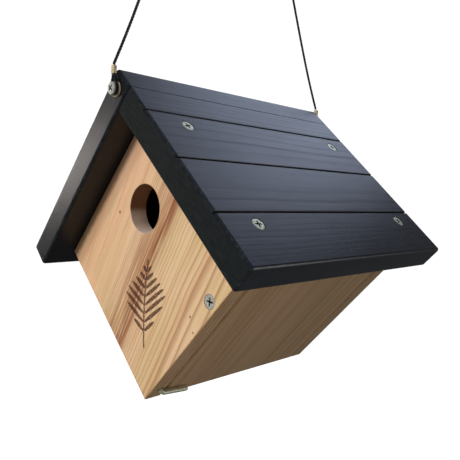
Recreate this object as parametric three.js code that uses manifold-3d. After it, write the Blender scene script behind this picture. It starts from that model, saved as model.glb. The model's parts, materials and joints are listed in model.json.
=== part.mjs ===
// Hanging wren house: a square box set on its corner under a roof of two boards,
// carried by a loop of wire rope whose ends turn on two screws in the ridge.
// Millimetres, +Z up, +Y towards the back. The origin is the top of the rope loop,
// where a hook takes the weight.
import * as THREE from "three";
import { mergeVertices } from "three/addons/utils/BufferGeometryUtils.js";
import Module from "manifold-3d";

const wasm = await Module();
wasm.setup();

// ---- Driving dimensions ----
const ropeRise = 164; // ridge edge up to the top of the rope
const boxSide = 130.6; // outside of the square box, along a slope
const boxDepth = 162.1;
const wall = 12.7; // front and back panels, fixed side and door
const boardEasing = 0.8;
const roofThickness = 18.3;
const roofEasing = 2;
const frontOverhang = 20.3; // roof's front end to the front panel
const backOverhang = 17.6;
const leftEave = 14.3; // roof's reach past the box, down each slope
const rightEave = 12.9;

const entranceDiameter = 31.75;
const entranceDrop = 60.1; // panel's top corner straight down to the hole's centre
const grooveStart = 40.4; // from the ridge edge, down each slope
const groovePitch = 41.7;
const grooveCount = 3;
const grooveWidth = 1.5;
const grooveDepth = 1.7;

const glueGap = 0.3; // between pieces that are glued or screwed together
const doorFrontGap = 1.3;
const doorBackGap = 0.4;
const doorTopGap = 1.8; // lets the door's top corner swing past the roof
const doorHeelGap = 0.6; // between the door's inner face and the fixed side
const pivotDrop = 35.6; // roof's underside to the door's pivot, along the door
const pivotInset = 6.9; // door's outer face to its pivot

const screwShank = 2.1; // radii
const screwHead = 4.1;
const pivotHead = 4.3;
const screwLength = 38;
const headHeight = 2.7;
const headRim = 0.4; // height of the head's straight edge
const headSink = 0.2; // countersunk heads sit just below the face
const recessDepth = 1.7;
const recessReach = 1.1; // of the head's radius, for every cross recess
const recessBlade = 0.22; // blade's thickness to its width
const boreClearance = 0.35;
const boreRise = 3; // a bore's cutter runs on above the face
const upperScrewDrop = 32.5; // from the box's top corner, down the slope
const lowerScrewRise = 16.3; // from the box's side corner, up the slope

const hangerShank = 1.9;
const hangerHead = 4;
const hangerHeadHeight = 1.4;
const hangerLength = 30;
const hangerRecess = 1;
const hangerRim = 0.6; // shares of the pan head's height and radius
const hangerCrown = 0.15;
const hangerCrownRadius = 0.8;
const washerRadius = 5;
const washerThickness = 0.7;
const stackGap = 0.25; // roof end, washer, rope eye and screw head

const ropeRadius = 1;
const eyeRopeRadius = 0.9;
const ferruleWidth = 4.2;
const ferruleDepth = 2.8;
const ferruleHeight = 4.85;
const ferruleRound = 0.45; // corner radius to depth
const ferruleLift = 9.15; // hanger screw's axis up to the ferrule's foot

const latchRadius = 1.5;
const latchLift = 3; // panel's edge to the middle of the arm
const latchArm = 24.4;
const latchShank = 15;
const latchFromCorner = 11; // box's bottom corner up along the panel's edge
const latchTilt = THREE.MathUtils.degToRad(11); // arm leans to the bottom corner

// The rope's route in the plane x = 0, as [y, z]
const ropeRoute = [
  [-102.1, -162.1], [-95.1, -146.4], [-88.4, -130.6], [-82, -114.7], [-75.8, -98.7],
  [-69.7, -82.6], [-63.6, -66.7], [-57.2, -51.1], [-50.1, -36.5], [-41.7, -22.8],
  [-31, -10.9], [-16.8, -2.6], [0, 0], [17.1, -2.1], [32.3, -9.2],
  [44, -20.4], [52.7, -34.1], [59.6, -49], [65.7, -64.7], [71.3, -81],
  [76.9, -97.5], [82.6, -113.8], [88.6, -130.1], [95.1, -146.2], [102.1, -162.1],
];

// ---- Derived places ----
// The timber frame stands on its corner: +X runs down the right slope, -Z down the left
// slope, and its origin is the middle of the ridge edge.
const boxNear = roofThickness;
const boxFar = roofThickness + boxSide;
const leftSlope = boxFar + leftEave; // ridge edge to eave, outside
const rightSlope = boxFar + rightEave;
const roofDepth = frontOverhang + boxDepth + backOverhang;
const roofFront = -roofDepth / 2;
const roofBack = roofDepth / 2;
const boxFront = roofFront + frontOverhang;
const boxBack = boxFront + boxDepth;
const frontMiddle = boxFront + wall / 2;
const backMiddle = boxBack - wall / 2;
const entranceOffset = entranceDrop / Math.SQRT2;
const entranceX = boxNear + entranceOffset;
const pivotX = boxFar - pivotInset;
const pivotZ = -boxNear - pivotDrop;
const latchZ = -boxFar + latchFromCorner;
const ridgeMiddle = roofThickness / 2; // hanger screw, in the left board's end
const roofScrewRows = [["upper", boxNear + upperScrewDrop], ["lower", boxFar - lowerScrewRise]];
const hangerZ = -ropeRise - ridgeMiddle * Math.SQRT2;
const hangerOut = stackGap + washerThickness + stackGap;
const eyeOut = hangerOut + eyeRopeRadius;
const headOut = eyeOut + eyeRopeRadius + stackGap;

const house = new THREE.Group();
const timber = new THREE.Group();
timber.position.z = -ropeRise;
timber.rotation.y = Math.PI / 4;
house.add(timber);

// ---- Materials ----
function finish(color, roughness, metalness = 0) {
  return new THREE.MeshStandardMaterial({ color, roughness, metalness });
}

const stainedTimber = finish(0x3c434f, 0.55);
const paleTimber = finish(0xcda57c, 0.7);
const zincSteel = finish(0xc9ccc8, 0.35, 0.9);
const brass = finish(0xcdb682, 0.35, 0.9);
const blackRope = finish(0x17171a, 0.5);

// ---- Solids ----
function solid(geometry) {
  const bare = geometry.index ? geometry.toNonIndexed() : geometry.clone();
  bare.deleteAttribute("normal");
  bare.deleteAttribute("uv");
  const merged = mergeVertices(bare, 1e-4);
  const vertProperties = new Float32Array(merged.attributes.position.array);
  const triVerts = new Uint32Array(merged.index.array);
  return new wasm.Manifold(new wasm.Mesh({ numProp: 3, vertProperties, triVerts }));
}

function geometryOf(manifold) {
  const mesh = manifold.getMesh();
  const geometry = new THREE.BufferGeometry();
  geometry.setAttribute("position", new THREE.BufferAttribute(mesh.vertProperties, 3));
  geometry.setIndex(new THREE.BufferAttribute(mesh.triVerts, 1));
  geometry.computeVertexNormals();
  return geometry;
}

function addPiece(parent, name, shape, material) {
  const geometry = shape.isBufferGeometry ? shape : geometryOf(shape);
  const mesh = new THREE.Mesh(geometry, material.clone());
  mesh.name = name;
  parent.add(mesh);
  return mesh;
}

function easedRectangle(width, height, radius) {
  const x = width / 2;
  const y = height / 2;
  const shape = new THREE.Shape();
  shape.moveTo(x, y - radius);
  shape.absarc(x - radius, y - radius, radius, 0, Math.PI / 2);
  shape.absarc(-x + radius, y - radius, radius, Math.PI / 2, Math.PI);
  shape.absarc(-x + radius, -y + radius, radius, Math.PI, 1.5 * Math.PI);
  shape.absarc(x - radius, -y + radius, radius, 1.5 * Math.PI, 2 * Math.PI);
  return shape;
}

function prism(shape, length, curveSegments = 3) {
  const geometry = new THREE.ExtrudeGeometry(shape, { depth: length, bevelEnabled: false, curveSegments });
  return geometry.translate(0, 0, -length / 2);
}

// A board between two corners, every edge eased to one radius
function board(low, high, easing) {
  const size = high.map((value, axis) => value - low[axis]);
  const middle = high.map((value, axis) => (value + low[axis]) / 2);
  const alongX = prism(easedRectangle(size[2], size[1], easing), size[0]).rotateY(Math.PI / 2);
  const alongY = prism(easedRectangle(size[0], size[2], easing), size[1]).rotateX(Math.PI / 2);
  const alongZ = prism(easedRectangle(size[0], size[1], easing), size[2]);
  return solid(alongX).intersect(solid(alongY)).intersect(solid(alongZ)).translate(middle);
}

// A round solid turned about +Z from [radius, z] points, its top at z = 0
function turned(profile, segments = 16) {
  const points = profile.map(([radius, z]) => new THREE.Vector2(radius, z));
  return new THREE.LatheGeometry(points, segments).rotateX(Math.PI / 2);
}

function screwProfile(head, shank, length, clearance, above) {
  return [
    [0, -length - clearance],
    [shank + clearance, -length - clearance],
    [shank + clearance, -headHeight - clearance],
    [head + clearance, -headRim - clearance],
    [head + clearance, above],
    [0, above],
  ];
}

function crossRecess(width, depth) {
  const blade = new THREE.BoxGeometry(width, width * recessBlade, depth * 2);
  return solid(blade).add(solid(blade.clone().rotateZ(Math.PI / 2)));
}

function countersunkScrew(head) {
  const profile = screwProfile(head, screwShank, screwLength, 0, 0);
  return solid(turned(profile)).subtract(crossRecess(head * recessReach, recessDepth));
}

function panHeadScrew() {
  const dome = hangerHeadHeight;
  const profile = [
    [0, -dome - hangerLength],
    [hangerShank, -dome - hangerLength],
    [hangerShank, -dome],
    [hangerHead, -dome],
    [hangerHead, -dome * hangerRim],
    [hangerHead * hangerCrownRadius, -dome * hangerCrown],
    [0, 0],
  ];
  return solid(turned(profile)).subtract(crossRecess(hangerHead * recessReach, hangerRecess));
}

// Turns a solid whose axis is +Z so that +Z points along a direction, and moves it
function aimed(manifold, place, direction) {
  const turn = new THREE.Quaternion().setFromUnitVectors(
    new THREE.Vector3(0, 0, 1),
    new THREE.Vector3(...direction),
  );
  const matrix = new THREE.Matrix4().compose(new THREE.Vector3(...place), turn, new THREE.Vector3(1, 1, 1));
  return solid(geometryOf(manifold).applyMatrix4(matrix));
}

// ---- Screws that hold the timber together ----
// Each has a place on the outer face and the direction out of that face.
const screws = [];
for (const [endName, y] of [["front", frontMiddle], ["back", backMiddle]]) {
  for (const [rowName, drop] of roofScrewRows) {
    const right = { face: [drop, y, 0], out: [0, 0, 1], head: screwHead };
    const left = { face: [0, y, -drop], out: [-1, 0, 0], head: screwHead };
    screws.push({ name: `roof_screw_right_${endName}_${rowName}`, ...right });
    screws.push({ name: `roof_screw_left_${endName}_${rowName}`, ...left });
  }
}
for (const [endName, y, out] of [["front", boxFront, -1], ["back", boxBack, 1]]) {
  screws.push({ name: `pivot_screw_${endName}`, face: [pivotX, y, pivotZ], out: [0, out, 0], head: pivotHead });
}

function alongOut(screw, distance) {
  return screw.face.map((value, axis) => value + screw.out[axis] * distance);
}

function boreFor(screw) {
  const profile = screwProfile(screw.head, screwShank, screwLength, boreClearance, boreRise);
  return aimed(solid(turned(profile)), alongOut(screw, -headSink), screw.out);
}

function drilled(blank) {
  let result = blank;
  for (const screw of screws) {
    result = result.subtract(boreFor(screw));
  }
  return result;
}

for (const screw of screws) {
  const piece = aimed(countersunkScrew(screw.head), alongOut(screw, -headSink), screw.out);
  addPiece(timber, screw.name, piece, zincSteel);
}

// ---- Roof ----
function grooveCutters(onRight) {
  const cutters = [];
  for (let i = 0; i < grooveCount; i += 1) {
    const drop = grooveStart + i * groovePitch;
    const size = [grooveWidth, roofDepth + 2, grooveDepth * 2];
    const cutter = onRight ? new THREE.BoxGeometry(...size) : new THREE.BoxGeometry(...size.reverse());
    cutter.translate(onRight ? drop : 0, 0, onRight ? 0 : -drop);
    cutters.push(solid(cutter));
  }
  return cutters;
}

function hangerBore(y, out) {
  const radius = hangerShank + boreClearance;
  const depth = hangerLength - headOut + boreClearance;
  const bore = turned([[0, -depth], [radius, -depth], [radius, boreRise], [0, boreRise]]);
  return aimed(solid(bore), [ridgeMiddle, y, -ridgeMiddle], [0, out, 0]);
}

let leftRoof = board([0, roofFront, -leftSlope], [roofThickness, roofBack, 0], roofEasing);
leftRoof = leftRoof.subtract(hangerBore(roofFront, -1)).subtract(hangerBore(roofBack, 1));
for (const cutter of grooveCutters(false)) {
  leftRoof = leftRoof.subtract(cutter);
}
addPiece(timber, "roof_board_left", drilled(leftRoof), stainedTimber);

const rightLow = [roofThickness + glueGap, roofFront, -roofThickness];
let rightRoof = board(rightLow, [rightSlope, roofBack, 0], roofEasing);
for (const cutter of grooveCutters(true)) {
  rightRoof = rightRoof.subtract(cutter);
}
addPiece(timber, "roof_board_right", drilled(rightRoof), stainedTimber);

// ---- Box: front and back panels, fixed lower left side, door on the lower right ----
const panelNear = boxNear + glueGap;

function panel(front, back) {
  return drilled(board([panelNear, front, -boxFar], [boxFar, back, -panelNear], boardEasing));
}

const entranceTool = new THREE.CylinderGeometry(entranceDiameter / 2, entranceDiameter / 2, wall * 2, 48);
entranceTool.translate(entranceX, frontMiddle, -entranceX);
const latchBore = turned([
  [0, -latchShank - boreClearance],
  [latchRadius + boreClearance, -latchShank - boreClearance],
  [latchRadius + boreClearance, boreRise],
  [0, boreRise],
]);
const latchHole = aimed(solid(latchBore), [boxFar, frontMiddle, latchZ], [1, 0, 0]);
const frontPanel = panel(boxFront, boxFront + wall).subtract(solid(entranceTool)).subtract(latchHole);
addPiece(timber, "front_panel", frontPanel, paleTimber);
addPiece(timber, "back_panel", panel(boxBack - wall, boxBack), paleTimber);

const sideLow = [panelNear, boxFront + wall + glueGap, -boxFar];
const sideHigh = [boxFar - wall - doorHeelGap, boxBack - wall - glueGap, -boxFar + wall];
addPiece(timber, "fixed_side", board(sideLow, sideHigh, boardEasing), paleTimber);

const doorLow = [boxFar - wall, boxFront + wall + doorFrontGap, -boxFar];
const doorHigh = [boxFar, boxBack - wall - doorBackGap, -boxNear - doorTopGap];
addPiece(timber, "cleanout_door", drilled(board(doorLow, doorHigh, boardEasing)), paleTimber);

// ---- Latch: a screw hook in the front panel's edge, its arm across the door ----
function tube(path, radius, steps, sides = 8) {
  const corners = [];
  for (let i = 0; i < sides; i += 1) {
    const angle = (2 * Math.PI * i) / sides;
    corners.push(new THREE.Vector2(radius * Math.cos(angle), radius * Math.sin(angle)));
  }
  return new THREE.ExtrudeGeometry(new THREE.Shape(corners), { steps, extrudePath: path });
}

const armBack = Math.cos(latchTilt);
const armDown = -Math.sin(latchTilt);
const latchPoint = (out, along) => new THREE.Vector3(
  boxFar + out,
  frontMiddle + along * armBack,
  latchZ + along * armDown,
);
const latchCorner = latchPoint(latchLift, 0);
const latchElbow = latchPoint(latchLift, latchLift);
const latchPath = new THREE.CurvePath();
latchPath.add(new THREE.LineCurve3(latchPoint(-latchShank, 0), latchPoint(0, 0)));
latchPath.add(new THREE.QuadraticBezierCurve3(latchPoint(0, 0), latchCorner, latchElbow));
latchPath.add(new THREE.LineCurve3(latchElbow, latchPoint(latchLift, latchArm)));
addPiece(timber, "latch_hook", solid(tube(latchPath, latchRadius, 36)), zincSteel);

// ---- Hanger: screw, washer, rope eye and ferrule at each end of the ridge ----
const washer = turned([
  [hangerShank + boreClearance, -washerThickness],
  [washerRadius, -washerThickness],
  [washerRadius, 0],
  [hangerShank + boreClearance, 0],
  [hangerShank + boreClearance, -washerThickness],
], 24);

const eyeRoute = [
  [-1.05, 8.7], [-1.25, 6.8], [-2.5, 3.6], [-3.35, 0.6], [-2.5, -2.3],
  [0, -3.4],
  [2.5, -2.3], [3.35, 0.6], [2.5, 3.6], [1.25, 6.8], [1.05, 8.7],
];

for (const [endName, end] of [["front", -1], ["back", 1]]) {
  const faceY = (end * roofDepth) / 2;
  const out = [0, end, 0];
  const headTop = faceY + end * (headOut + hangerHeadHeight);
  const hangerScrew = aimed(panHeadScrew(), [ridgeMiddle, headTop, -ridgeMiddle], out);
  addPiece(timber, `hanger_screw_${endName}`, hangerScrew, zincSteel);
  const washerTop = faceY + end * (stackGap + washerThickness);
  const washerPiece = aimed(solid(washer), [ridgeMiddle, washerTop, -ridgeMiddle], out);
  addPiece(timber, `hanger_washer_${endName}`, washerPiece, brass);

  const eyeY = faceY + end * eyeOut;
  const eyePoints = eyeRoute.map(([x, z]) => new THREE.Vector3(x, eyeY, hangerZ + z));
  const eye = tube(new THREE.CatmullRomCurve3(eyePoints), eyeRopeRadius, 24);
  addPiece(house, `rope_eye_${endName}`, solid(eye), blackRope);

  const ferruleShape = easedRectangle(ferruleWidth, ferruleDepth, ferruleDepth * ferruleRound);
  const ferrule = prism(ferruleShape, ferruleHeight);
  ferrule.translate(0, eyeY, hangerZ + ferruleLift + ferruleHeight / 2);
  addPiece(house, `ferrule_${endName}`, solid(ferrule), brass);
}

const ropePoints = ropeRoute.map(([y, z]) => new THREE.Vector3(0, y, z));
const rope = tube(new THREE.CatmullRomCurve3(ropePoints), ropeRadius, 80);
addPiece(house, "hanging_rope", solid(rope), blackRope);

export default house;
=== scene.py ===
"""A hanging wren house: a square box on its corner, two stained roof boards, a wire rope hanger."""

import json
import math

import bmesh
import bpy
from mathutils import Matrix, Quaternion, Vector


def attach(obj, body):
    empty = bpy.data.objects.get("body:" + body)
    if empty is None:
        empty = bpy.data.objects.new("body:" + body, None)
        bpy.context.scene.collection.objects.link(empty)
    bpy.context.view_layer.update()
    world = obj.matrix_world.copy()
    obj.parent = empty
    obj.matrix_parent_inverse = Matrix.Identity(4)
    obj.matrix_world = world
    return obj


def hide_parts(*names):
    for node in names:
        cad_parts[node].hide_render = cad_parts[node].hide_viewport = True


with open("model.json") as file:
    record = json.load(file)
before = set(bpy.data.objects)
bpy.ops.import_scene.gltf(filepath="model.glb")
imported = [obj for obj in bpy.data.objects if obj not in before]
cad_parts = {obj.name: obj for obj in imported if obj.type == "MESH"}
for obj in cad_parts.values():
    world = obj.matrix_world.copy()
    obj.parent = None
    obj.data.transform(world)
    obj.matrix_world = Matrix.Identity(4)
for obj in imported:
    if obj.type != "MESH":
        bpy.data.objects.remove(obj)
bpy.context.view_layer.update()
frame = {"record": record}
scene = bpy.context.scene

MM = 0.001
PER_METRE = (1000, 1000, 1000)
ROPE_RISE = 164
# Timber frame, in mm: X down the right slope, -Z down the left slope, from the ridge edge.
TIMBER = (
    Matrix.Translation((0, 0, -ROPE_RISE * MM))
    @ Matrix.Rotation(math.radians(45), 4, "Y")
    @ Matrix.Scale(MM, 4)
)
HOUSE = Matrix.Scale(MM, 4)


# ---- Sizes, in mm ----
BOX_SIDE, BOX_DEPTH, WALL, BOARD_EASING = 130.6, 162.1, 12.7, 0.8
ROOF_THICKNESS, ROOF_EASING = 18.3, 2
FRONT_OVERHANG, BACK_OVERHANG, LEFT_EAVE, RIGHT_EAVE = 20.3, 17.6, 14.3, 12.9
ENTRANCE_RADIUS, ENTRANCE_DROP = 15.875, 60.1
GROOVE_START, GROOVE_PITCH, GROOVE_COUNT, GROOVE_HALF, GROOVE_DEPTH = 40.4, 41.7, 3, 0.75, 1.7
GLUE_GAP, DOOR_FRONT_GAP, DOOR_BACK_GAP, DOOR_TOP_GAP, DOOR_HEEL_GAP = 0.3, 1.3, 0.4, 1.8, 0.6
PIVOT_DROP, PIVOT_INSET = 35.6, 6.9
SCREW_SHANK, SCREW_HEAD, PIVOT_HEAD, SCREW_LENGTH, HEAD_HEIGHT = 2.1, 4.1, 4.3, 38, 2.7
HEAD_SINK, BORE_CLEARANCE = 0.2, 0.35
UPPER_SCREW_DROP, LOWER_SCREW_RISE = 32.5, 16.3
HANGER_SHANK, HANGER_HEAD, HANGER_HEAD_HEIGHT, HANGER_LENGTH = 1.9, 4, 1.4, 30
ROPE_DIAMETER, ROPE_LAY, EYE_LAY, STRANDS, STRAND_SHARE = 2.0, 6.5, 5.0, 3, 0.3
WASHER_RADIUS, WASHER_THICKNESS, STACK_GAP = 5, 0.7, 0.25
EYE_RADIUS, FERRULE_WIDTH, FERRULE_DEPTH, FERRULE_HEIGHT, FERRULE_LIFT = 0.9, 4.2, 2.8, 4.85, 9.15
LATCH_RADIUS, LATCH_LIFT, LATCH_ARM, LATCH_SHANK, LATCH_FROM_CORNER, LATCH_TILT = 1.5, 3, 24.4, 15, 11, 11
LATCH_NECK, LATCH_STEP, LATCH_THREAD_PITCH = 0.6, 0.16, 1.15

BOX_NEAR = ROOF_THICKNESS
BOX_FAR = ROOF_THICKNESS + BOX_SIDE
PANEL_NEAR = BOX_NEAR + GLUE_GAP
LEFT_SLOPE = BOX_FAR + LEFT_EAVE
RIGHT_SLOPE = BOX_FAR + RIGHT_EAVE
ROOF_DEPTH = FRONT_OVERHANG + BOX_DEPTH + BACK_OVERHANG
ROOF_FRONT, ROOF_BACK = -ROOF_DEPTH / 2, ROOF_DEPTH / 2
BOX_FRONT = ROOF_FRONT + FRONT_OVERHANG
BOX_BACK = BOX_FRONT + BOX_DEPTH
FRONT_MIDDLE, BACK_MIDDLE = BOX_FRONT + WALL / 2, BOX_BACK - WALL / 2
ENTRANCE_X = BOX_NEAR + ENTRANCE_DROP / math.sqrt(2)
PIVOT_X, PIVOT_Z = BOX_FAR - PIVOT_INSET, -BOX_NEAR - PIVOT_DROP
LATCH_Z = -BOX_FAR + LATCH_FROM_CORNER
RIDGE_MIDDLE = ROOF_THICKNESS / 2
HANGER_Z = -ROPE_RISE - RIDGE_MIDDLE * math.sqrt(2)
EYE_OUT = STACK_GAP * 2 + WASHER_THICKNESS + EYE_RADIUS
HEAD_OUT = EYE_OUT + EYE_RADIUS + STACK_GAP
FERN_FOOT = (-1.0, BOX_FRONT, -ROPE_RISE - 168.0)
FERN_PITCH = 5.6

ROPE_ROUTE = [
    (-102.1, -162.1), (-95.1, -146.4), (-88.4, -130.6), (-82, -114.7), (-75.8, -98.7),
    (-69.7, -82.6), (-63.6, -66.7), (-57.2, -51.1), (-50.1, -36.5), (-41.7, -22.8),
    (-31, -10.9), (-16.8, -2.6), (0, 0), (17.1, -2.1), (32.3, -9.2),
    (44, -20.4), (52.7, -34.1), (59.6, -49), (65.7, -64.7), (71.3, -81),
    (76.9, -97.5), (82.6, -113.8), (88.6, -130.1), (95.1, -146.2), (102.1, -162.1),
]
EYE_ROUTE = [
    (-1.05, 8.7), (-1.25, 6.8), (-2.5, 3.6), (-3.35, 0.6), (-2.5, -2.3), (0, -3.4),
    (2.5, -2.3), (3.35, 0.6), (2.5, 3.6), (1.25, 6.8), (1.05, 8.7),
]


def new_object(name, data):
    made = bpy.data.objects.new(name, data)
    scene.collection.objects.link(made)
    return made


# ---- Camera ----
def make_camera():
    camera = new_object("camera", bpy.data.cameras.new("camera"))
    place = Vector((0.28539475, -0.28294627, -0.25126569))
    target = Vector((-0.00136101, -0.00100283, -0.26538178))
    roll = Quaternion((0, 0, 1), math.radians(0.2593))
    camera.location = place
    camera.rotation_mode = "QUATERNION"
    camera.rotation_quaternion = (target - place).to_track_quat("-Z", "Y") @ roll
    camera.data.lens = 42.059
    camera.data.sensor_width = 36
    camera.data.clip_start = 0.01
    camera.data.clip_end = 20
    scene.camera = camera


# ---- Shader maths ----
class Value:
    """A shader socket. Arithmetic on it adds Math nodes."""

    def __init__(self, shader, socket):
        self.shader = shader
        self.socket = socket

    def with_math(self, operation, *values):
        return self.shader.node("ShaderNodeMath", {"operation": operation}, dict(enumerate(values)))

    def __add__(self, other):
        return self.with_math("ADD", self, other)

    def __sub__(self, other):
        return self.with_math("SUBTRACT", self, other)

    def __rsub__(self, other):
        return self.with_math("SUBTRACT", other, self)

    def __mul__(self, other):
        return self.with_math("MULTIPLY", self, other)

    def __truediv__(self, other):
        return self.with_math("DIVIDE", self, other)

    def __rtruediv__(self, other):
        return self.with_math("DIVIDE", other, self)

    __radd__ = __add__
    __rmul__ = __mul__


class Shader:
    """One material and its nodes."""

    def __init__(self, name):
        self.material = bpy.data.materials.new(name)
        self.material.use_nodes = True
        self.tree = self.material.node_tree
        self.tree.nodes.clear()
        self.object_place = self.node("ShaderNodeTexCoord", {}, {}, "Object")
        self.object_normal = self.node("ShaderNodeTexCoord", {}, {}, "Normal")

    def node(self, kind, settings, inputs, output=0):
        made = self.tree.nodes.new(kind)
        for name, value in settings.items():
            if name == "stops":
                self.set_stops(made.color_ramp.elements, value)
            else:
                setattr(made, name, value)
        for name, value in inputs.items():
            if isinstance(value, Value):
                self.tree.links.new(value.socket, made.inputs[name])
            else:
                made.inputs[name].default_value = value
        return Value(self, made.outputs[output])

    @staticmethod
    def set_stops(elements, stops):
        while len(elements) < len(stops):
            elements.new(0.5)
        for element, (position, color) in zip(elements, stops):
            element.position = position
            element.color = color

    def vector(self, operation, *values, output=0):
        return self.node("ShaderNodeVectorMath", {"operation": operation}, dict(enumerate(values)), output)

    def dot(self, vector, direction):
        return self.vector("DOT_PRODUCT", vector, tuple(direction), output="Value")

    def pack(self, x, y, z):
        return self.node("ShaderNodeCombineXYZ", {}, {"X": x, "Y": y, "Z": z})

    def noise(self, place, detail=2.0, roughness=0.5, distortion=0.0):
        inputs = {"Vector": place, "Scale": 1.0, "Detail": detail, "Roughness": roughness}
        inputs["Distortion"] = distortion
        return self.node("ShaderNodeTexNoise", {}, inputs, "Fac")

    def smooth(self, value, low, high, start=0.0, end=1.0):
        inputs = {"Value": value, "From Min": low, "From Max": high, "To Min": start, "To Max": end}
        return self.node("ShaderNodeMapRange", {"interpolation_type": "SMOOTHSTEP"}, inputs)

    def mix(self, factor, first, second, blend="MIX"):
        settings = {"data_type": "RGBA", "blend_type": blend}
        return self.node("ShaderNodeMix", settings, {0: factor, 6: first, 7: second}, 2)

    def smaller(self, first, second):
        return self.node("ShaderNodeMath", {"operation": "MINIMUM"}, {0: first, 1: second})

    def larger(self, first, second):
        return self.node("ShaderNodeMath", {"operation": "MAXIMUM"}, {0: first, 1: second})

    def single(self, operation, value):
        return self.node("ShaderNodeMath", {"operation": operation}, {0: value})

    def timber_place(self):
        """The place in the timber frame, in mm."""
        turn = math.radians(-45)
        shift = (ROPE_RISE * math.sin(turn), 0, ROPE_RISE * math.cos(turn))
        inputs = {"Vector": self.object_place, "Location": shift, "Rotation": (0, turn, 0)}
        inputs["Scale"] = PER_METRE
        return self.node("ShaderNodeMapping", {}, inputs)

    def house_place(self):
        """The place in the house's upright frame, in mm."""
        return self.vector("MULTIPLY", self.object_place, PER_METRE)

    def finish(self, color, roughness, height=None, depth=0.1, **fixed):
        """The material. Height is bumped to a depth in mm, and the rest are constant inputs."""
        inputs = {"Base Color": color, "Roughness": roughness}
        if height is not None:
            bump = {"Height": height, "Distance": depth * MM, "Strength": 1.0}
            inputs["Normal"] = self.node("ShaderNodeBump", {}, bump)
        inputs.update({name.replace("_", " "): value for name, value in fixed.items()})
        surface = self.node("ShaderNodeBsdfPrincipled", {}, inputs)
        output = self.tree.nodes.new("ShaderNodeOutputMaterial")
        self.tree.links.new(surface.socket, output.inputs["Surface"])
        return self.material


def paint(red, green, blue):
    """A display colour, 0 to 255, as linear light."""
    levels = [value / 255 for value in (red, green, blue)]
    linear = [v / 12.92 if v <= 0.04045 else ((v + 0.055) / 1.055) ** 2.4 for v in levels]
    return (*linear, 1.0)


# ---- Wood ----
HEARTWOOD = (140, 80, 50)


class Grain:
    """How one board was sawn: where its heart lies and which way its grain runs, timber frame, mm."""

    def __init__(self, pith, along, across, curve, seed, box):
        self.pith = Vector(pith)
        self.along = Vector(along).normalized()
        self.across = Vector(across).normalized()
        self.through = self.along.cross(self.across)
        self.curve = curve
        self.seed = seed
        self.box = box


def grain_place(shader, grain):
    """Millimetres across, through and along the grain from the board's heart."""
    place = shader.vector("SUBTRACT", shader.timber_place(), tuple(grain.pith))
    across = shader.dot(place, grain.across)
    through = shader.dot(place, grain.through)
    along = shader.dot(place, grain.along)
    return across, through, along


def growth_rings(shader, grain, across, through, along, wander):
    """Dark summer lines, 0 to 1, one for each ring."""
    drift = shader.noise(shader.pack(across * 0.02, through * 0.02 + grain.seed, along * 0.009), 2.0)
    ripple = shader.noise(shader.pack(across * 0.12, through * 0.12 + grain.seed, along * 0.03), 2.0)
    bent = across + (drift - 0.5) * wander + (ripple - 0.5) * (wander * 0.16)
    count = (bent * bent + through * through) * grain.curve
    count = count + shader.noise(count * 0.35 + grain.seed, 1.0) * 1.6
    part = shader.single("FRACT", count)
    year = shader.single("FLOOR", count) + grain.seed
    strong = shader.node("ShaderNodeTexWhiteNoise", {"noise_dimensions": "1D"}, {"W": year}, "Value")
    line = shader.smooth(part, 0.5, 0.9) * shader.smooth(part, 0.93, 1.0, 1.0, 0.0)
    return line * (0.35 + 0.65 * strong)


def edge_distance(shader, grain):
    """Millimetres to the board's nearest long or short edge."""
    place = shader.timber_place()
    low, high = (Vector(corner) for corner in grain.box)
    middle, half = (low + high) / 2, (high - low) / 2
    offset = shader.vector("ABSOLUTE", shader.vector("SUBTRACT", place, tuple(middle)))
    inset = shader.vector("SUBTRACT", tuple(half), offset)
    gaps = [shader.dot(inset, axis) for axis in ((1, 0, 0), (0, 1, 0), (0, 0, 1))]
    least = shader.smaller(gaps[0], gaps[1])
    most = shader.larger(gaps[0], gaps[1])
    return shader.larger(least, shader.smaller(most, gaps[2]))


def end_grain(shader, grain):
    """1 on a sawn end, 0 on a face."""
    turned = Matrix.Rotation(math.radians(45), 3, "Y") @ grain.along
    facing = shader.single("ABSOLUTE", shader.dot(shader.object_normal, turned))
    return shader.smooth(facing, 0.6, 0.9)


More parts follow.
